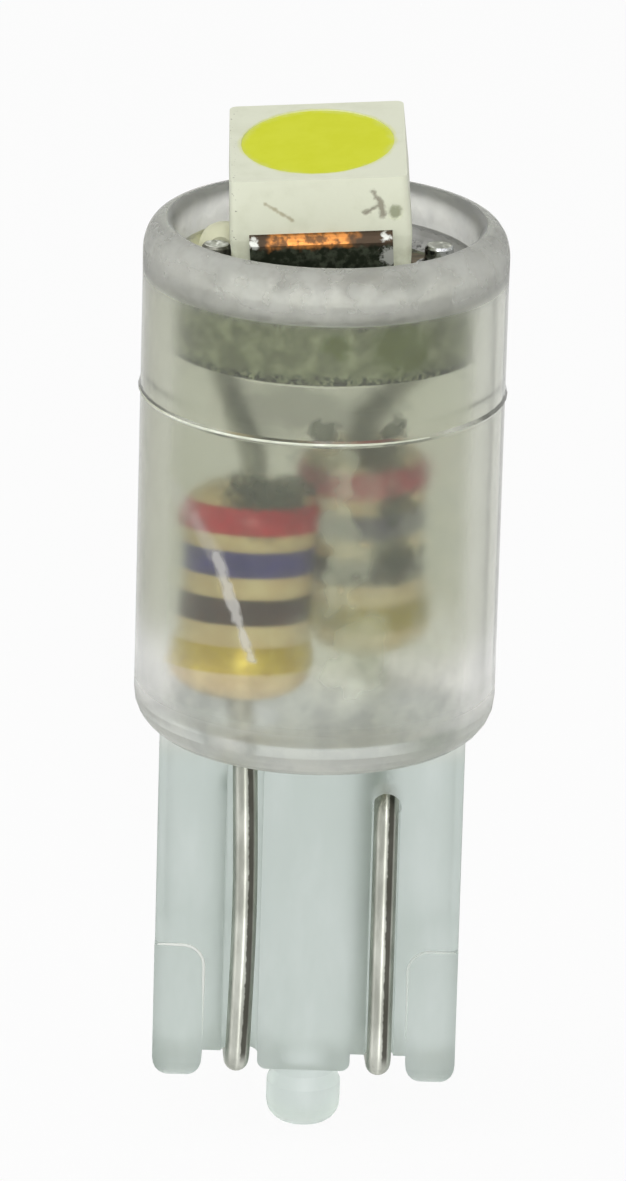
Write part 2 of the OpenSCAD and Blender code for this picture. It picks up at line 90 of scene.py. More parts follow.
class Shader:
    """A material's node tree, with short calls for the nodes that the materials share. Places are in mm."""

    def __init__(self, name):
        self.material = bpy.data.materials.new(name)
        self.material.use_nodes = True
        self.tree = self.material.node_tree
        self.tree.nodes.clear()
        self.output = self.add("OutputMaterial")
        self.surface = self.add("BsdfPrincipled")
        self.link(self.surface.outputs["BSDF"], self.output.inputs["Surface"])
        self.place = self.vector("SCALE", self.add("TexCoord").outputs["Object"], 1 / MM)

    def add(self, kind):
        return self.tree.nodes.new("ShaderNode" + kind)

    def link(self, a, b):
        self.tree.links.new(a, b)

    def feed(self, socket, value):
        if isinstance(value, bpy.types.NodeSocket):
            self.link(value, socket)
        else:
            socket.default_value = value

    def math(self, operation, a, b=0.0, clamp=False):
        n = self.add("Math")
        n.operation = operation
        n.use_clamp = clamp
        self.feed(n.inputs[0], a)
        self.feed(n.inputs[1], b)
        return n.outputs[0]

    def vector(self, operation, a, b=(0, 0, 0)):
        n = self.add("VectorMath")
        n.operation = operation
        self.feed(n.inputs[0], a)
        if operation == "SCALE":
            self.feed(n.inputs["Scale"], b)
        elif operation != "LENGTH":
            self.feed(n.inputs[1], b)
        single = operation in ("LENGTH", "DOT_PRODUCT", "DISTANCE")
        return n.outputs["Value" if single else "Vector"]

    def part(self, vector, axis):
        n = self.add("SeparateXYZ")
        self.link(vector, n.inputs[0])
        return n.outputs[axis]

    def local(self, at, turns):
        """The place in the frame of a piece at the given point and turns (degrees)."""
        n = self.add("Mapping")
        n.vector_type = "TEXTURE"
        self.link(self.place, n.inputs["Vector"])
        n.inputs["Location"].default_value = at
        n.inputs["Rotation"].default_value = [math.radians(t) for t in turns]
        return n.outputs["Vector"]

    def noise(self, size, detail=3.0, rough=0.55, place=None, stretch=(1, 1, 1)):
        """Noise whose features are about size across."""
        scaled = self.vector("MULTIPLY", place or self.place, [c / size for c in stretch])
        n = self.add("TexNoise")
        self.link(scaled, n.inputs["Vector"])
        n.inputs["Scale"].default_value = 1.0
        n.inputs["Detail"].default_value = detail
        n.inputs["Roughness"].default_value = rough
        return n.outputs["Fac"]

    def ramp(self, value, low, high, start=0.0, end=1.0):
        """Value carried smoothly from low..high to start..end."""
        n = self.add("MapRange")
        n.interpolation_type = "SMOOTHSTEP"
        self.feed(n.inputs["Value"], value)
        for socket, number in zip(("From Min", "From Max", "To Min", "To Max"), (low, high, start, end)):
            self.feed(n.inputs[socket], number)
        return n.outputs["Result"]

    def mix(self, share, a, b, blend="MIX"):
        n = self.add("Mix")
        n.data_type = "RGBA"
        n.blend_type = blend
        self.feed(n.inputs["Factor"], share)
        self.feed(n.inputs["A"], a)
        self.feed(n.inputs["B"], b)
        return n.outputs["Result"]

    def wobble(self, size, reach):
        """Noise of the given size, from minus reach to reach, for ragged edges."""
        return self.ramp(self.noise(size, 2.0), 0.3, 0.7, -reach, reach)

    def spot(self, place, centre, radius, soft, wobble=None):
        """1 inside a ball about the centre, fading out over soft."""
        reach = self.vector("DISTANCE", place, centre)
        if wobble is not None:
            reach = self.math("ADD", reach, wobble)
        return self.ramp(reach, radius, radius + soft, 1.0, 0.0)

    def stroke(self, place, a, b, radius, soft, wobble=None):
        """1 along the line from a to b, fading out over soft."""
        a, b = Vector(a), Vector(b)
        run = b - a
        rel = self.vector("SUBTRACT", place, a)
        along = self.math("DIVIDE", self.vector("DOT_PRODUCT", rel, run), run.length_squared, clamp=True)
        near = self.vector("SCALE", tuple(run), along)
        reach = self.vector("DISTANCE", rel, near)
        if wobble is not None:
            reach = self.math("ADD", reach, wobble)
        return self.ramp(reach, radius, radius + soft, 1.0, 0.0)

    def either(self, *masks):
        total = masks[0]
        for m in masks[1:]:
            total = self.math("MAXIMUM", total, m)
        return total

    def both(self, *masks):
        total = masks[0]
        for m in masks[1:]:
            total = self.math("MULTIPLY", total, m)
        return total

    def bump(self, height, strength, depth):
        """Bump of the given depth."""
        n = self.add("Bump")
        n.inputs["Strength"].default_value = strength
        n.inputs["Distance"].default_value = depth * MM
        self.link(height, n.inputs["Height"])
        self.link(n.outputs["Normal"], self.surface.inputs["Normal"])

    def set(self, **values):
        """Sets the shader's own sockets, by their names with underscores for spaces."""
        for name, value in values.items():
            self.feed(self.surface.inputs[name.replace("_", " ")], value)


def dress(material, *names):
    for name in names:
        slots = nodes[name].data.materials
        if not slots:
            slots.append(material)
        for i in range(len(slots)):
            slots[i] = material


# What each wall of the plastic lets through: the cup, its murky patches and its left side, darker with
# painted shade, the base, its frosted patches and its lighter leg ends, and the rim and the floor, lighter
# with painted light, with their mottling
CUP_TINT = srgb(220, 222, 209)
MURK = srgb(208, 210, 194)
LEFT_SHADE_TINT = srgb(186, 188, 164)
BASE_TINT = srgb(213, 223, 219)
FROST_TINT = srgb(227, 235, 233)
PAINTED_LIGHT_TINT = srgb(255, 255, 250)
PAINTED_LIGHT_MOTTLE = srgb(232, 232, 230)
# What the plastic takes out of the light along each metre, and lets through to what a lamp lights
HAZE = (0.5, 0.53, 0.45, 1.0)
HAZE_DENSITY = 100
LAMP_TINT = (0.82, 0.84, 0.8, 1.0)
# Colours, as they look in plain light
LED_WHITE = srgb(229, 232, 210)
LED_DULL = srgb(208, 211, 184)
GOUGE = srgb(112, 100, 84)
DIMPLE = srgb(132, 138, 104)
LEMON = srgb(214, 220, 8)
LEMON_PALE = srgb(220, 226, 40)
TARNISH = srgb(38, 44, 32)
TARNISH_LIGHT = srgb(80, 86, 72)
COPPER = srgb(186, 122, 62)
COPPER_DARK = srgb(70, 58, 46)
TAN = srgb(206, 182, 138)
TAN_PALE = srgb(222, 204, 160)
TIN = srgb(176, 178, 168)
TIN_PALE = srgb(212, 214, 204)
PAINTED_DARK_REFLECTION = srgb(54, 50, 40)
# Pale frost, also the colour of the painted highlight in the mist
FROST = srgb(232, 233, 224)
# Strength of the plain light from all round, and how much of the floor is backdrop where it is seen
ROUND_LIGHT = 0.45
BACKDROP_SHARE = 0.92
# How far the lamps stand, in metres
LAMP_DISTANCE = 0.25


def clear_plastic():
    """Milky clear plastic, rougher and greener in the base, lighter where the light meets many faces."""
    s = Shader("clear_plastic")
    z = s.part(s.place, "Z")
    base_share = s.ramp(z, -0.5, 0.3, 1.0, 0.0)
    cup = s.mix(s.ramp(s.noise(1.3, 3.0), 0.35, 0.7, 0.0, 0.45), CUP_TINT, MURK)
    # The cup's left side is tinted darker: painted shade
    cup = s.mix(s.ramp(s.part(s.place, "X"), -2.3, -2.8, 0.0, 0.8), cup, LEFT_SHADE_TINT)
    frost = s.either(s.ramp(s.noise(0.8, 4.0, stretch=(1, 1, 0.3)), 0.4, 0.7), s.ramp(z, -6.2, -7.6))
    tint = s.mix(base_share, cup, s.mix(frost, BASE_TINT, FROST_TINT))
    # The rim and the floor are tinted lighter, in mottled patches: painted light
    thick = s.either(s.ramp(z, 7.4, 7.9), s.both(s.ramp(z, -0.3, 0.1), s.ramp(z, 2.2, 1.2)))
    mottled = s.mix(s.ramp(s.noise(0.5, 4.0), 0.4, 0.65), PAINTED_LIGHT_TINT, PAINTED_LIGHT_MOTTLE)
    tint = s.mix(thick, tint, mottled)
    rough = s.math("ADD", s.ramp(z, -0.4, 1.6, 0.48, 0.17), s.ramp(z, 7.3, 7.9, 0.0, 0.2))
    s.set(Base_Color=tint, Transmission_Weight=0.97, IOR=1.49, Roughness=rough, Specular_IOR_Level=0.5)
    s.bump(s.noise(0.9, 2.0), 0.2, 0.03)
    haze = s.add("VolumeAbsorption")
    haze.inputs["Color"].default_value = HAZE
    haze.inputs["Density"].default_value = HAZE_DENSITY
    s.link(haze.outputs[0], s.output.inputs["Volume"])
    # Lamps light what is behind the plastic through it
    path = s.add("LightPath")
    clear = s.add("BsdfTransparent")
    clear.inputs["Color"].default_value = LAMP_TINT
    both = s.add("MixShader")
    s.link(path.outputs["Is Shadow Ray"], both.inputs["Fac"])
    s.link(s.surface.outputs["BSDF"], both.inputs[1])
    s.link(clear.outputs["BSDF"], both.inputs[2])
    s.link(both.outputs[0], s.output.inputs["Surface"])
    return s.material


def led_white():
    """White package plastic with its marks, a darker foot and dark grains down its left edge."""
    s = Shader("led_white")
    local = s.local(LED_AT, LED_TURNS)
    ragged = s.wobble(0.1, 0.02)
    colour = s.mix(s.ramp(s.noise(0.5, 4.0), 0.45, 0.75, 0.0, 0.35), LED_WHITE, LED_DULL)
    # Low on the sides the plastic is a little darker, in patches
    low = s.ramp(s.part(local, "Z"), 0.2, 1.2, 0.5, 0.0)
    colour = s.mix(s.both(low, s.ramp(s.noise(0.25, 3.0), 0.4, 0.65)), colour, srgb(176, 178, 150))
    # A thin brownish line on the left and a forked gouge on the right of the front
    line = s.stroke(local, (-0.85, -1.46, 1.52), (-0.44, -1.46, 1.24), 0.002, 0.045, s.wobble(0.12, 0.012))
    colour = s.mix(s.math("MULTIPLY", line, 0.6), colour, srgb(150, 136, 92))
    gouge = s.either(
        s.stroke(local, (0.84, -1.46, 1.66), (0.94, -1.46, 1.47), 0.005, 0.06, ragged),
        s.stroke(local, (0.94, -1.46, 1.47), (0.98, -1.46, 1.27), 0.015, 0.07, ragged),
        s.stroke(local, (0.94, -1.46, 1.45), (0.7, -1.46, 1.3), 0.004, 0.06, ragged))
    colour = s.mix(s.math("MULTIPLY", gouge, 0.7), colour, GOUGE)
    dimple = s.spot(local, (1.17, -1.46, 1.31), 0.06, 0.09, ragged)
    colour = s.mix(s.math("MULTIPLY", dimple, 0.75), colour, DIMPLE)
    # The fill has crept a little over the window's edge
    flat = s.vector("MULTIPLY", local, (1, 1, 0))
    round_window = s.spot(flat, (0, 0, 0), 1.2, 0.07, s.wobble(0.3, 0.02))
    crept = s.both(round_window, s.ramp(s.part(local, "Z"), 1.86, 1.89))
    colour = s.mix(s.math("MULTIPLY", crept, 0.5), colour, srgb(216, 220, 120))
    grains = s.both(s.ramp(s.noise(0.05, 2.0), 0.66, 0.72), s.ramp(s.part(local, "X"), -1.2, -1.34))
    colour = s.mix(s.math("MULTIPLY", grains, 0.7), colour, srgb(96, 92, 78))
    s.set(Base_Color=colour, Roughness=0.5, Specular_IOR_Level=0.4)
    s.bump(s.math("SUBTRACT", s.math("MULTIPLY", s.noise(0.12, 3.0), 0.3), gouge), 0.4, 0.03)
    return s.material


def phosphor():
    """Yellow fill, a little paler in patches and along its edge."""
    s = Shader("phosphor")
    patch = s.ramp(s.noise(0.45, 3.0), 0.35, 0.7, 0.0, 0.6)
    flat = s.vector("MULTIPLY", s.local(LED_AT, LED_TURNS), (1, 1, 0))
    edge = s.ramp(s.math("ADD", s.vector("LENGTH", flat), s.wobble(0.3, 0.04)), 1.08, 1.24, 0.0, 0.6)
    colour = s.mix(edge, s.mix(patch, LEMON, LEMON_PALE), srgb(216, 222, 130))
    s.set(Base_Color=colour, Roughness=0.4, Specular_IOR_Level=0.15)
    s.bump(s.noise(0.3, 2.0), 0.1, 0.01)
    return s.material


def terminal():
    """Tarnished plate with bare copper along its upper bend, a painted highlight on part of the copper and
    painted glints near its corners.
    """
    s = Shader("terminal_metal")
    local = s.local(LED_AT, LED_TURNS)
    z = s.part(local, "Z")
    x = s.part(local, "X")
    colour = s.mix(s.ramp(s.noise(0.12, 4.0), 0.4, 0.7), TARNISH, TARNISH_LIGHT)
    bare = s.ramp(s.math("ADD", z, s.wobble(0.2, 0.06)), 0.74, 0.84)
    colour = s.mix(bare, colour, COPPER_DARK)
    # Part of the bare copper is lighter: a painted highlight
    bright = s.both(bare, s.ramp(s.math("ADD", x, s.wobble(0.3, 0.15)), -0.95, -0.7),
                    s.ramp(s.math("ADD", x, s.wobble(0.3, 0.15)), 0.35, 0.6, 1.0, 0.0))
    bright = s.both(bright, s.ramp(s.noise(0.14, 3.0), 0.36, 0.58, 0.2, 1.0))
    colour = s.mix(bright, colour, COPPER)
    # Pale spots near the corners: painted glints
    corner_glints = s.either(s.spot(local, (1.08, -1.6, 0.62), 0.1, 0.1, s.wobble(0.08, 0.06)),
                    s.spot(local, (-1.08, -1.6, 0.92), 0.05, 0.06, s.wobble(0.08, 0.04)),
                    s.spot(local, (1.02, -1.6, 0.98), 0.05, 0.06, s.wobble(0.08, 0.04)))
    colour = s.mix(corner_glints, colour, srgb(190, 192, 186))
    s.set(Base_Color=colour, Metallic=0.85, Roughness=s.ramp(bright, 0.0, 1.0, 0.5, 0.36))
    s.bump(s.noise(0.1, 3.0), 0.4, 0.02)
    return s.material


def board():
    """Board with a mottled edge, dark grains along both its corners and olive patches in front."""
    s = Shader("board")
    z = s.part(s.place, "Z")
    colour = s.mix(s.ramp(s.noise(0.3, 4.0), 0.35, 0.7), srgb(104, 108, 84), srgb(150, 156, 130))
    olive = s.either(s.spot(s.place, (1.2, -2.05, 7.05), 0.3, 0.3, s.wobble(0.3, 0.12)),
                     s.spot(s.place, (0.2, -2.36, 7.15), 0.1, 0.18, s.wobble(0.2, 0.06)))
    colour = s.mix(s.math("MULTIPLY", olive, 0.8), colour, srgb(84, 96, 22))
    low = s.ramp(s.math("ADD", z, s.wobble(0.12, 0.06)), 6.56, 6.72, 1.0, 0.0)
    grains = s.both(low, s.ramp(s.noise(0.07, 3.0), 0.42, 0.56))
    colour = s.mix(grains, colour, srgb(38, 44, 32))
    upper = s.ramp(s.math("ADD", z, s.wobble(0.2, 0.04)), 7.38, 7.48)
    rubbed = s.both(upper, s.ramp(s.noise(0.08, 3.0), 0.46, 0.6))
    scattered = s.either(rubbed, s.ramp(s.noise(0.06, 2.0), 0.67, 0.72))
    colour = s.mix(s.math("MULTIPLY", scattered, 0.8), colour, srgb(48, 46, 44))
    s.set(Base_Color=colour, Roughness=0.6, Specular_IOR_Level=0.3)
    s.bump(s.noise(0.15, 3.0), 0.3, 0.02)
    return s.material


def adhesive():
    """Greyish round the board, with a yellowish lump on the left and dark grains along its foot."""
    s = Shader("adhesive")
    colour = s.mix(s.ramp(s.noise(0.4, 4.0), 0.35, 0.7), srgb(176, 176, 172), srgb(204, 204, 202))
    lump = s.spot(s.place, (-1.62, 1.12, 7.8), 0.45, 0.3, s.wobble(0.3, 0.1))
    colour = s.mix(lump, colour, srgb(226, 226, 196))
    foot = s.both(s.ramp(s.part(s.place, "Z"), 7.64, 7.54), s.ramp(s.noise(0.08, 3.0), 0.48, 0.6))
    colour = s.mix(s.math("MULTIPLY", foot, 0.8), colour, srgb(60, 60, 56))
    s.set(Base_Color=colour, Roughness=0.35)
    s.bump(s.noise(0.3, 3.0), 0.4, 0.03)
    return s.material


def lacquer(name, *dark_spots):
    """Resistor lacquer with dark spots, each given by its middle and radius."""
    s = Shader(name)
    colour = s.mix(s.ramp(s.noise(0.4, 4.0), 0.35, 0.7), TAN, TAN_PALE)
    dark = s.either(*(s.spot(s.place, at, r, 0.35, s.wobble(0.3, 0.15)) for at, r in dark_spots))
    colour = s.mix(s.math("MULTIPLY", dark, 0.9), colour, srgb(52, 58, 38))
    s.set(Base_Color=colour, Roughness=0.35)
    s.bump(s.noise(0.25, 3.0), 0.3, 0.01)
    return s.material


def contact_metal():
    """Drawn and tinned wire, smeared along its length, with a painted dark reflection down the right side of
    each strand in front.
    """
    s = Shader("tinned_wire")
    patch = s.ramp(s.noise(0.25, 4.0, stretch=(1, 1, 0.3)), 0.35, 0.7)
    colour = s.mix(patch, TIN, TIN_PALE)
    x, y, z = (s.part(s.place, axis) for axis in "XYZ")
    bow = s.math("DIVIDE", s.math("ADD", z, BOW_HALF), BOW_HALF)
    bowed = s.math("MULTIPLY", s.math("SUBTRACT", 1.0, s.math("MULTIPLY", bow, bow)), BOW)
    front = s.both(s.ramp(y, -0.6, -0.8), s.ramp(z, -5.6, -5.3), s.ramp(z, 0.0, -0.2))
    left = s.math("SUBTRACT", x, s.math("ADD", bowed, ENTRY_X))
    right = s.math("SUBTRACT", x, EXIT_X)
    ragged = s.wobble(0.12, 0.008)
    # Painted dark reflection down the right side of each strand, in front only
    painted_dark_reflection = s.both(front, s.either(
        s.both(s.ramp(s.math("ADD", left, ragged), 0.035, 0.06), s.ramp(left, 0.145, 0.115)),
        s.both(s.ramp(s.math("ADD", right, ragged), 0.035, 0.06), s.ramp(right, 0.145, 0.115))))
    colour = s.mix(s.math("MULTIPLY", painted_dark_reflection, 0.85), colour, PAINTED_DARK_REFLECTION)
    s.set(Base_Color=colour, Metallic=1.0, Roughness=0.42, Anisotropic=0.95)
    tangent = s.add("CombineXYZ")
    tangent.inputs["Z"].default_value = 1.0
    s.link(tangent.outputs[0], s.surface.inputs["Tangent"])
    s.bump(s.noise(0.5, 2.0), 0.2, 0.015)
    return s.material


def simple(name, dark, light, size, metallic=0.0, roughness=0.4, bump=0.01, low=0.35, high=0.7):
    """A plain finish, patchy between two colours in patches of the given size."""
    s = Shader(name)
    patch = s.ramp(s.noise(size, 4.0), low, high)
    s.set(Base_Color=s.mix(patch, dark, light), Metallic=metallic, Roughness=roughness)
    s.bump(s.noise(size * 0.6, 3.0), 0.3, bump)
    return s.material


def mark(name, colour, masks, roughness=0.5):
    """A mark in or on the plastic, seen where its mask is; masks(shader) gives the mask."""
    s = Shader(name)
    s.set(Base_Color=colour, Roughness=roughness, Alpha=masks(s))
    return s.material


def show(obj):
    bpy.context.scene.collection.objects.link(obj)
    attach(obj, "root")
    return obj


def turned(radius, degrees, z):
    """A place round the middle, in mm: 0 degrees is in front, and more is to the right."""
    a = math.radians(degrees)
    return radius * math.sin(a), -radius * math.cos(a), z


def sheet(name, rings, material, closed=False):
    """A thin sheet through rings of points, from the lowest up; closed joins the ends of each ring."""
    bm = bmesh.new()
    rows = [[bm.verts.new([c * MM for c in point]) for point in ring] for ring in rings]
    for a, b in zip(rows, rows[1:]):
        for j in range(len(a) if closed else len(a) - 1):
            k = (j + 1) % len(a)
            bm.faces.new((a[j], a[k], b[k], b[j])).smooth = True
    mesh = bpy.data.meshes.new(name)
    bm.to_mesh(mesh)
    bm.free()
    mesh.materials.append(material)
    show(bpy.data.objects.new(name, mesh))


def film(name, radius, low, high, start, end, material, steps, rows):
    """A thin sheet on an upright cylinder, from height low to high and from angle start to end."""
    rings = [[turned(radius, start + (end - start) * j / steps, low + (high - low) * i / rows)
              for j in range(steps + 1)] for i in range(rows + 1)]
    sheet(name, rings, material)


def thread(name, points, radii, material):
    """A fine round thread through the points, with a radius at each."""
    data = bpy.data.curves.new(name, "CURVE")
    data.dimensions = "3D"
    data.bevel_depth = MM
    data.bevel_resolution = 2
    data.use_fill_caps = True
    spline = data.splines.new("POLY")
    spline.points.add(len(points) - 1)
    for point, at, r in zip(spline.points, points, radii):
        point.co = [c * MM for c in at] + [1.0]
        point.radius = r
    data.materials.append(material)
    show(bpy.data.objects.new(name, data))


def smooth_wire(node, material):
    """Stands for a contact wire, whose solid has twelve flat sides, with a round one on the same points."""
    bm = bmesh.new()
    bm.from_mesh(nodes[node].data)
    bmesh.ops.remove_doubles(bm, verts=bm.verts, dist=1e-7)
    bmesh.ops.join_triangles(bm, faces=bm.faces, angle_face_threshold=0.6, angle_shape_threshold=0.8)
    bm.normal_update()
    # Subdivision draws a twelve-sided tube in by this share of its radius
    drawn_in = 1 - (4 + 2 * math.cos(math.radians(30))) / 6
    for v in bm.verts:
        v.co += v.normal * WIRE_R * drawn_in * MM
    bm.verts.index_update()
    mesh = bpy.data.meshes.new(node + "_round")
    mesh.from_pydata([v.co for v in bm.verts], [], [[v.index for v in f.verts] for f in bm.faces])
    bm.free()
    mesh.shade_smooth()
    mesh.materials.append(material)
    obj = show(bpy.data.objects.new(node + "_round", mesh))
    divide = obj.modifiers.new("round", "SUBSURF")
    divide.levels = divide.render_levels = 1
    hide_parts(node)


dress(clear_plastic(), "housing")
dress(led_white(), "led_package")
dress(phosphor(), "led_window")
dress(simple("die", srgb(80, 100, 130), srgb(110, 130, 160), 0.1), "led_die")
dress(simple("bond_gold", srgb(212, 175, 90), srgb(240, 205, 120), 0.05, 1.0, 0.25, 0.002),
      "led_front_bond_wire", "led_rear_bond_wire")
dress(terminal(), "led_front_terminal", "led_rear_terminal")
dress(simple("dull_solder", srgb(104, 104, 94), srgb(160, 160, 150), 0.12, 0.8, 0.45, 0.03),
      "front_terminal_solder", "rear_terminal_solder", "left_lead_solder")
dress(simple("bright_solder", srgb(120, 124, 126), srgb(236, 238, 240), 0.14, 1.0, 0.2, 0.04, 0.4, 0.55),
      "right_lead_solder")
dress(adhesive(), "sealing_adhesive")
dress(simple("land_metal", srgb(92, 84, 66), srgb(140, 124, 100), 0.2, 0.7, 0.5), "front_land", "rear_land")
dress(board(), "circuit_board")
dress(lacquer("front_lacquer", ((-0.75, -0.95, 4.3), 0.5)), "front_resistor_body")
# The rear resistor's dark spots are painted shade over its bands and its upper end
rear_dark_spots = ((1.15, 0.1, 2.95), 0.22), ((1.2, 0.1, 3.7), 0.1), ((0.9, 0.5, 4.6), 0.4)
dress(lacquer("rear_lacquer", *rear_dark_spots), "rear_resistor_body")
# The rear resistor's bands are darker copies of the front's colours: painted shade
for depth, band, dark, light in (
        ("front", "red", srgb(168, 8, 30), srgb(196, 24, 44)),
        ("front", "violet", srgb(38, 32, 110), srgb(58, 50, 132)),
        ("front", "brown", srgb(48, 24, 22), srgb(70, 42, 38)),
        ("front", "gold", srgb(186, 160, 40), srgb(212, 188, 66)),
        ("rear", "red", srgb(150, 20, 40), srgb(176, 40, 56)),
        ("rear", "violet", srgb(34, 28, 64), srgb(52, 44, 84)),
        ("rear", "brown", srgb(24, 14, 12), srgb(40, 26, 22)),
        ("rear", "gold", srgb(150, 134, 40), srgb(176, 160, 66))):
    shine = 0.3 if band == "gold" else 0.0
    paint = simple("%s_%s_paint" % (depth, band), dark, light, 0.25, shine, 0.35)
    dress(paint, "%s_resistor_%s_band" % (depth, band))
wire_metal = contact_metal()
dress(wire_metal, "front_resistor_upper_lead", "rear_resistor_upper_lead")
smooth_wire("front_contact_wire", wire_metal)
smooth_wire("rear_contact_wire", wire_metal)


# Painted highlight along the parting line, in front and on the left
def painted_parting_highlight():
    pale = simple("painted_line_highlight", srgb(236, 238, 230), srgb(252, 253, 248), 0.4, 0.0, 0.45)
    start, end, steps, thick = -84, 36, 90, 0.02
    points, radii = [], []
    for i in range(steps + 1):
        points.append(turned(WITNESS_R - thick, start + (end - start) * i / steps, WITNESS_Z))
        radii.append(thick * min(1.0, 0.3 + 3 * min(i, steps - i) / steps))
    thread("painted_parting_highlight", points, radii, pale)


# A long pale streak down the front, broad and faint above and narrow below
def pale_trail():
    def masks(s):
        ragged = s.wobble(0.2, 0.03)
        upper = s.stroke(s.place, (-2.287, -1.783, 4.5), (-1.9, -2.19, 4.1), 0.06, 0.22, ragged)
        middle = s.stroke(s.place, (-1.95, -2.147, 4.15), (-1.579, -2.432, 3.646), 0.03, 0.2, ragged)
        lower = s.stroke(s.place, (-1.579, -2.432, 3.646), (-1.22, -2.631, 2.7), 0.045, 0.11, ragged)
        tip = s.stroke(s.place, (-1.22, -2.631, 2.7), (-0.979, -2.73, 2.03), 0.01, 0.1, ragged)
        faint = s.math("MULTIPLY", upper, 0.25)
        return s.math("MULTIPLY", s.either(faint, s.math("MULTIPLY", middle, 0.45), lower, tip), 0.6)
    material = mark("pale_trail", srgb(214, 212, 206), masks)
    film("pale_trail", CUP_R + 0.004, 1.8, 4.8, -60, -14, material, 30, 20)


# Adhesive smeared up the bore's wall, thickest in front
def smear():
    def masks(s):
        z = s.part(s.place, "Z")
        top = s.ramp(s.math("ADD", z, s.wobble(0.5, 0.12)), 7.85, 8.15, 1.0, 0.0)
        front = s.ramp(s.part(s.place, "Y"), -1.0, 0.2, 0.8, 0.3)
        return s.both(top, front)
    material = mark("smear", srgb(206, 206, 204), masks)
    film("smear", BORE_R - 0.01, 7.5, 8.3, 0, 360, material, 128, 8)


# Painted highlights along the edges of the leg pads, strongest on the left in front
def painted_pad_highlights():
    def masks(s):
        x, y = s.part(s.place, "X"), s.part(s.place, "Y")
        strong = s.both(s.ramp(x, -1.0, -1.4), s.ramp(y, -0.8, -1.0))
        return s.math("ADD", s.math("MULTIPLY", strong, 0.5), 0.25)
    material = mark("painted_pad_highlight", srgb(240, 243, 238), masks)
    inner, outer, top, face, bend, thick = 1.65, 2.4, -3.5, 1.08, 0.35, 0.03
    turns = [math.radians(t) for t in range(0, 91, 10)]
    corner = [(inner + bend - bend * math.sin(t), top - bend + bend * math.cos(t)) for t in turns]
    path = [(outer, top)] + corner + [(inner, top - bend - d) for d in (0.3, 0.6, 0.9, 1.2)]
    radii = [thick * 0.7] + [thick] * len(corner) + [thick * share for share in (0.9, 0.7, 0.5, 0.2)]
    for across, x_side in (("left", -1), ("right", 1)):
        for depth, y_side in (("front", -1), ("rear", 1)):
            points = [(x_side * x, y_side * face, z) for x, z in path]
            thread("pad_edge_%s_%s" % (across, depth), points, radii, material)


# Dark film on the bore's wall: painted shade below the board and over the resistors, and two dark spots below
# the board
def painted_shade():
    def masks(s):
        cloud = s.stroke(s.place, (-0.9, -2.3, 6.1), (0.8, -2.3, 6.05), 0.15, 0.6, s.wobble(0.5, 0.15))
        fine = s.wobble(0.2, 0.1)
        spots = s.either(s.spot(s.place, (0.06, -2.4, 5.78), 0.12, 0.25, fine),
                         s.spot(s.place, (1.06, -2.15, 5.76), 0.12, 0.22, fine))
        # Painted shade over the front resistor's cap, and fainter over the rear resistor's cap and two of its
        # bands
        edge = s.wobble(0.3, 0.12)
        cap = s.stroke(s.place, (-1.1, -2.13, 4.7), (-0.3, -2.38, 4.78), 0.05, 0.3, edge)
        rear_cap = s.math("MULTIPLY", s.spot(s.place, (-0.07, -2.4, 5.2), 0.08, 0.4, edge), 0.5)
        bands = s.either(s.spot(s.place, REAR_BROWN, 0.12, 0.38, edge),
                         s.spot(s.place, REAR_VIOLET, 0.05, 0.35, edge))
        faint = s.either(s.math("MULTIPLY", cloud, 0.6), rear_cap, s.math("MULTIPLY", bands, 0.75))
        return s.math("MULTIPLY", s.either(faint, spots, cap), 0.8)
    film("painted_shade", BORE_R - 0.01, 3.0, 6.5, -60, 60, mark("painted_shade", srgb(70, 74, 60), masks), 60, 30)


# Cloudy frosted skin over the rim, from the outside up to its crown
def rim_frost():
    def masks(s):
        cloud = s.ramp(s.noise(0.5, 3.0), 0.3, 0.7, 0.2, 0.38)
        return s.both(cloud, s.ramp(s.part(s.place, "Z"), 7.5, 7.9))
    material = mark("rim_frost", FROST, masks)
    foot, gap, rows, steps = 7.45, 0.004, 10, 128
    turns = [math.radians(90 * i / rows) for i in range(rows + 1)]
    profile = [(CUP_R + gap, foot)] + [
        (CROWN_R + (CUP_R - CROWN_R + gap) * math.cos(t), CUP_TOP - RIM_FALL + (RIM_FALL + gap) * math.sin(t))
        for t in turns]
    rings = [[turned(r, 360 * j / steps, z) for j in range(steps)] for r, z in profile]
    sheet("rim_frost", rings, material, closed=True)


# Milky film down the bore's wall in front: a painted highlight in a streak right of the middle and a pool
# below it, and milky cloud on the right
def mist_and_highlight():
    low, high = 0.9, 6.1

    def masks(s):
        ragged = s.wobble(0.8, 0.25)
        highlight_streak = s.stroke(s.place, (0.39, -2.37, 5.5), (0.5, -2.35, 2.6), 0.05, 0.4, ragged)
        highlight_pool = s.stroke(s.place, (0.5, -2.35, 2.4), (0.62, -2.32, 1.2), 0.05, 0.8, ragged)
        clear_left = s.ramp(s.part(s.place, "X"), -0.6, 0.2)
        cloud = s.both(clear_left, s.ramp(s.noise(0.9, 3.0, stretch=(1, 1, 0.5)), 0.4, 0.7, 0.0, 0.25))
        z = s.part(s.place, "Z")
        faded = s.both(s.ramp(z, low, 1.6), s.ramp(z, high, 5.4))
        strong = s.either(s.math("MULTIPLY", highlight_streak, 0.4), s.math("MULTIPLY", highlight_pool, 0.45), cloud)
        return s.both(faded, strong)
    film("mist_and_highlight", BORE_R - 0.03, low, high, -75, 75, mark("mist_and_highlight", FROST, masks), 75, 40)


painted_parting_highlight()
pale_trail()
painted_pad_highlights()
smear()
painted_shade()
rim_frost()
mist_and_highlight()


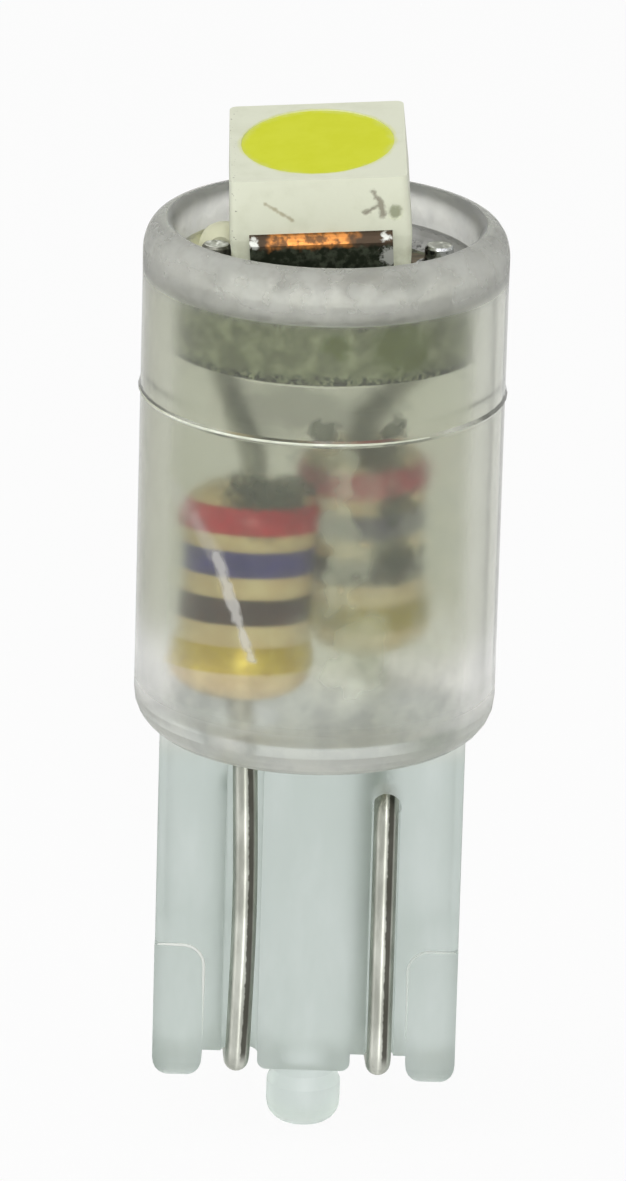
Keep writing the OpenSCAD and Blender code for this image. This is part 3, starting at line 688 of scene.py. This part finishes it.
def studio():
    """World: white where it is seen, shines or shows through, and plain light elsewhere."""
    world = bpy.data.worlds.new("studio")
    bpy.context.scene.world = world
    world.use_nodes = True
    tree = world.node_tree
    tree.nodes.clear()
    out = tree.nodes.new("ShaderNodeOutputWorld")
    mix = tree.nodes.new("ShaderNodeMixShader")
    for place, strength in ((1, ROUND_LIGHT), (2, 1.0)):
        light = tree.nodes.new("ShaderNodeBackground")
        light.inputs["Color"].default_value = (1, 1, 1, 1)
        light.inputs["Strength"].default_value = strength
        tree.links.new(light.outputs[0], mix.inputs[place])
    path = tree.nodes.new("ShaderNodeLightPath")
    seen = path.outputs["Is Camera Ray"]
    for ray in ("Is Glossy Ray", "Is Transmission Ray"):
        most = tree.nodes.new("ShaderNodeMath")
        most.operation = "MAXIMUM"
        tree.links.new(seen, most.inputs[0])
        tree.links.new(path.outputs[ray], most.inputs[1])
        seen = most.outputs[0]
    tree.links.new(seen, mix.inputs["Fac"])
    tree.links.new(mix.outputs[0], out.inputs["Surface"])


def floor():
    """Pale floor that keeps the shadow, and mostly white backdrop where it is seen or mirrored."""
    low = cad_box[0].z
    size = 0.6
    mesh = bpy.data.meshes.new("floor")
    corners = [(-size, -size, low), (size, -size, low), (size, size, low), (-size, size, low)]
    mesh.from_pydata(corners, [], [(0, 1, 2, 3)])
    obj = bpy.data.objects.new("floor", mesh)
    bpy.context.scene.collection.objects.link(obj)
    s = Shader("floor")
    s.set(Base_Color=(0.9, 0.9, 0.9, 1.0), Roughness=0.9, Specular_IOR_Level=0.0)
    glow = s.add("Emission")
    glow.inputs["Color"].default_value = (1, 1, 1, 1)
    glow.inputs["Strength"].default_value = 1.0
    path = s.add("LightPath")
    seen = s.either(*(path.outputs["Is %s Ray" % ray] for ray in ("Camera", "Glossy", "Transmission")))
    share = s.math("MULTIPLY", seen, BACKDROP_SHARE)
    both = s.add("MixShader")
    s.link(share, both.inputs["Fac"])
    s.link(s.surface.outputs["BSDF"], both.inputs[1])
    s.link(glow.outputs[0], both.inputs[2])
    s.link(both.outputs[0], s.output.inputs["Surface"])
    mesh.materials.append(s.material)


def lamp(name, azimuth, elevation, width, height, power):
    """Soft rectangular lamp that faces the part from LAMP_DISTANCE; azimuth 0 is straight in front."""
    data = bpy.data.lights.new(name, "AREA")
    data.shape = "RECTANGLE"
    data.size = width
    data.size_y = height
    data.energy = power
    obj = bpy.data.objects.new(name, data)
    bpy.context.scene.collection.objects.link(obj)
    a, e = math.radians(azimuth), math.radians(elevation)
    away = Vector((math.sin(a) * math.cos(e), -math.cos(a) * math.cos(e), math.sin(e)))
    obj.location = away * LAMP_DISTANCE
    obj.rotation_mode = "QUATERNION"
    obj.rotation_quaternion = away.to_track_quat("Z", "Y")


def camera():
    """The photograph's camera."""
    data = bpy.data.cameras.new("camera")
    data.lens = LENS
    data.sensor_width = 36
    data.clip_start = 0.01
    data.clip_end = 10
    obj = bpy.data.objects.new("camera", data)
    bpy.context.scene.collection.objects.link(obj)
    a, e = math.radians(AZIMUTH), math.radians(ELEVATION)
    back = Vector((math.sin(a) * math.cos(e), -math.cos(a) * math.cos(e), math.sin(e)))
    obj.location = (Vector(LOOK_AT) + back * DISTANCE) * MM
    right = Vector((math.cos(a), math.sin(a), 0))
    up = back.cross(right)
    r = math.radians(ROLL)
    x = right * math.cos(r) + up * math.sin(r)
    y = back.cross(x)
    rows = [(x[i], y[i], back[i]) for i in range(3)]
    obj.rotation_mode = "QUATERNION"
    obj.rotation_quaternion = Matrix(rows).to_quaternion()
    bpy.context.scene.camera = obj


studio()
floor()
lamp("key", 2, 24, 0.045, 0.16, 0.24)
lamp("side", -70, 25, 0.05, 0.12, 0.06)
lamp("top", -30, 75, 0.16, 0.16, 0.12)
camera()
bpy.context.scene.view_settings.view_transform = "Standard"
